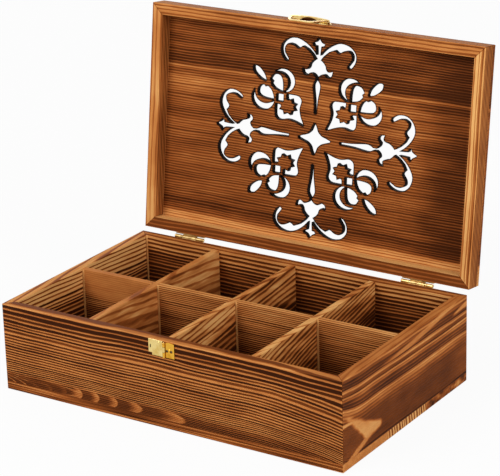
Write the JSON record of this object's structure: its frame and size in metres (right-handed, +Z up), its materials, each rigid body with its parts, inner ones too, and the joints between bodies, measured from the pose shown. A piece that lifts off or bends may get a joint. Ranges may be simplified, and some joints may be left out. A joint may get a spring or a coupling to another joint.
{
  "type": "tea bag organizer box",
  "caption": "hinged wooden box divided into compartments for tea bags, with a pierced rosette in its lid, brass hinges and a brass loop-and-flap catch, stored with the lid open",
  "frame": {"origin": "centre of the underside of the bottom board", "axes": "+X along the box's long front towards its right side, +Y from the front to the rear where the hinges are, +Z up"},
  "size_m": [0.33, 0.254, 0.2887],
  "materials": {
    "bottom_wood": "torched and oiled pine, satin",
    "wall_wood": "torched and oiled pine, satin",
    "divider_wood": "lightly torched pine, satin",
    "lid_wood": "torched and oiled pine, satin, charred at the cut edges",
    "rail_wood": "torched and oiled pine, satin",
    "brass": "polished",
    "nail_steel": "dull, darkened"
  },
  "bodies": {
    "base": {"bottom_board": "bottom_wood", "front_wall": "wall_wood", "rear_wall": "wall_wood", "left_wall": "wall_wood", "right_wall": "wall_wood", "long_divider": "divider_wood", "cross_divider_left": "divider_wood", "cross_divider_middle": "divider_wood", "cross_divider_right": "divider_wood", "hinge_left_base_leaf": "brass", "hinge_left_pin": "brass", "hinge_right_base_leaf": "brass", "hinge_right_pin": "brass", "hinge_base_screws": "brass", "catch_plate": "brass", "catch_pin": "brass", "catch_nails": "nail_steel"},
    "lid": {"lid_panel": "lid_wood", "lid_front_rail": "rail_wood", "lid_rear_rail": "rail_wood", "lid_left_rail": "rail_wood", "lid_right_rail": "rail_wood", "hinge_left_lid_leaf": "brass", "hinge_right_lid_leaf": "brass", "hinge_lid_screws": "brass", "hasp": "brass", "hasp_nails": "brass"},
    "flap": {"catch_flap": "brass"}
  },
  "joints": [
    {"name": "lid_hinge", "type": "hinge", "parent": "base", "child": "lid", "pos_m": [0, 0.105, 0.0775], "axis": [1, 0, 0], "range_deg": [0, 97.6]},
    {"name": "flap_hinge", "type": "hinge", "parent": "base", "child": "flap", "pos_m": [0.0005, -0.1033, 0.0703], "axis": [0, 0, 1], "range_deg": [0, 105]}
  ]
}
